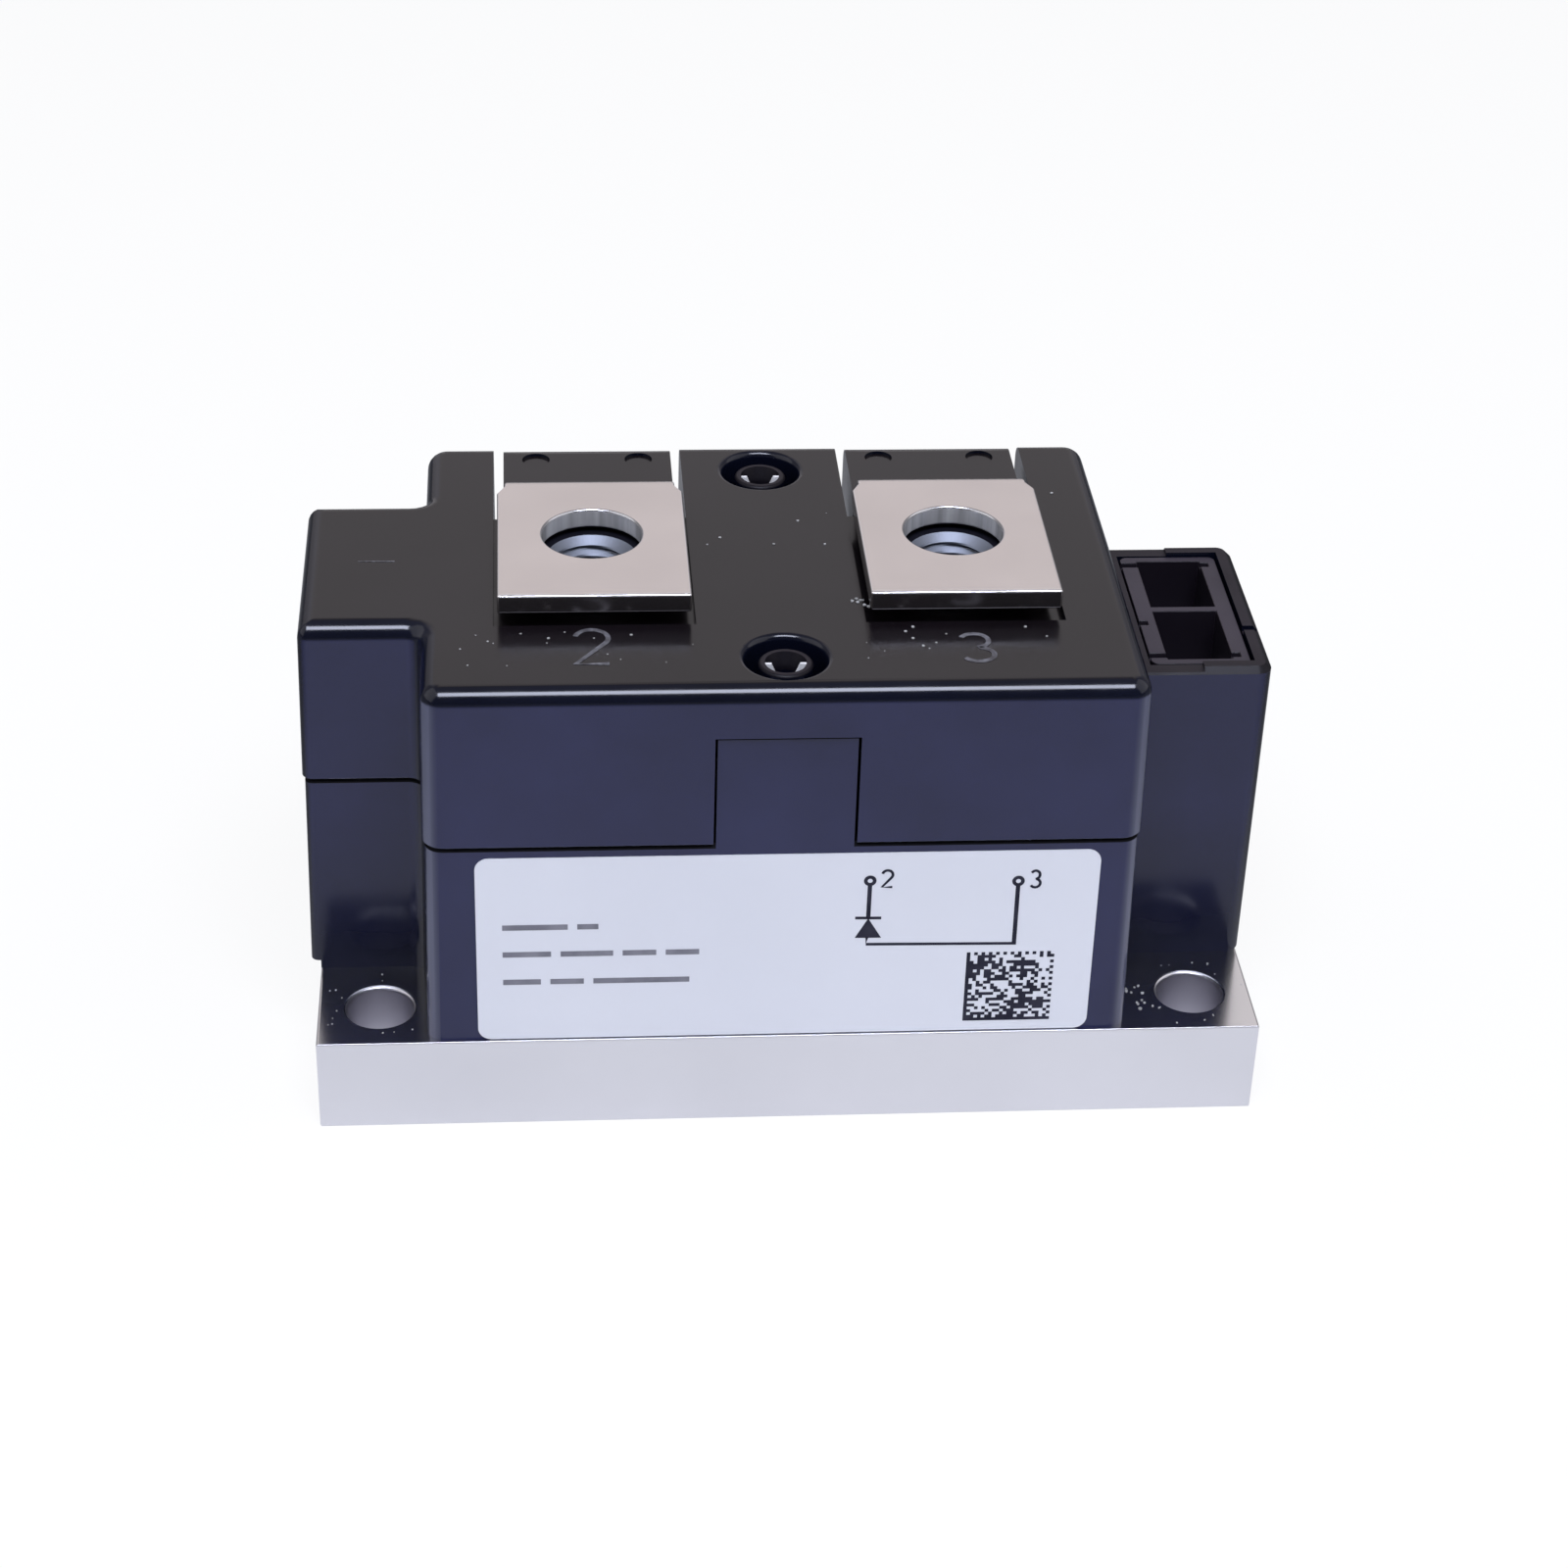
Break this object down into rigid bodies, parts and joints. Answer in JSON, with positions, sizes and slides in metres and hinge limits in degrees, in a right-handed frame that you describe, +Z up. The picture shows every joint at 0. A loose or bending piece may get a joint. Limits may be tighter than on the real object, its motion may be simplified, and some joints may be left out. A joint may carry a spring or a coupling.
{
  "type": "diode module",
  "caption": "Insulated diode power module: plated base plate with bolt holes, black moulded housing in two parts, bolt-on strip terminals over captive nuts and an empty signal socket.",
  "frame": {"origin": "middle of the heat-sink face under the base plate", "axes": "+Z up out of the heat sink, +X along the base plate towards the socket block, +Y to the back, away from the label"},
  "size_m": [0.0932, 0.05, 0.052],
  "materials": {
    "plated_base": "satin nickel plate on copper",
    "sealant": "cured silicone",
    "solder": "matt solder",
    "bare_copper": "bare copper",
    "ceramic": "white alumina",
    "molybdenum": "ground molybdenum",
    "silicon": "metallised silicon",
    "plated_terminal": "satin plate on copper",
    "gel": "clear soft gel",
    "resin": "black casting resin",
    "housing_plastic": "fine satin moulded black",
    "socket_plastic": "fine satin moulded black",
    "zinc_nut": "bluish zinc plate",
    "label_paper": "pale smooth film"
  },
  "bodies": {
    "root": {"base_plate": "plated_base", "base_seal": "sealant", "substrate_solder": "solder", "substrate_back_copper": "bare_copper", "substrate_ceramic": "ceramic", "cathode_land": "bare_copper", "anode_land": "bare_copper", "lower_moly_plate": "molybdenum", "diode_chip": "silicon", "upper_moly_plate": "molybdenum", "anode_clip": "bare_copper", "cathode_terminal": "plated_terminal", "anode_terminal": "plated_terminal", "soft_gel": "gel", "hard_resin": "resin", "housing_frame": "housing_plastic", "housing_cover": "housing_plastic", "socket_insert": "socket_plastic", "terminal_nuts": "zinc_nut", "front_label": "label_paper"}
  },
  "joints": []
}
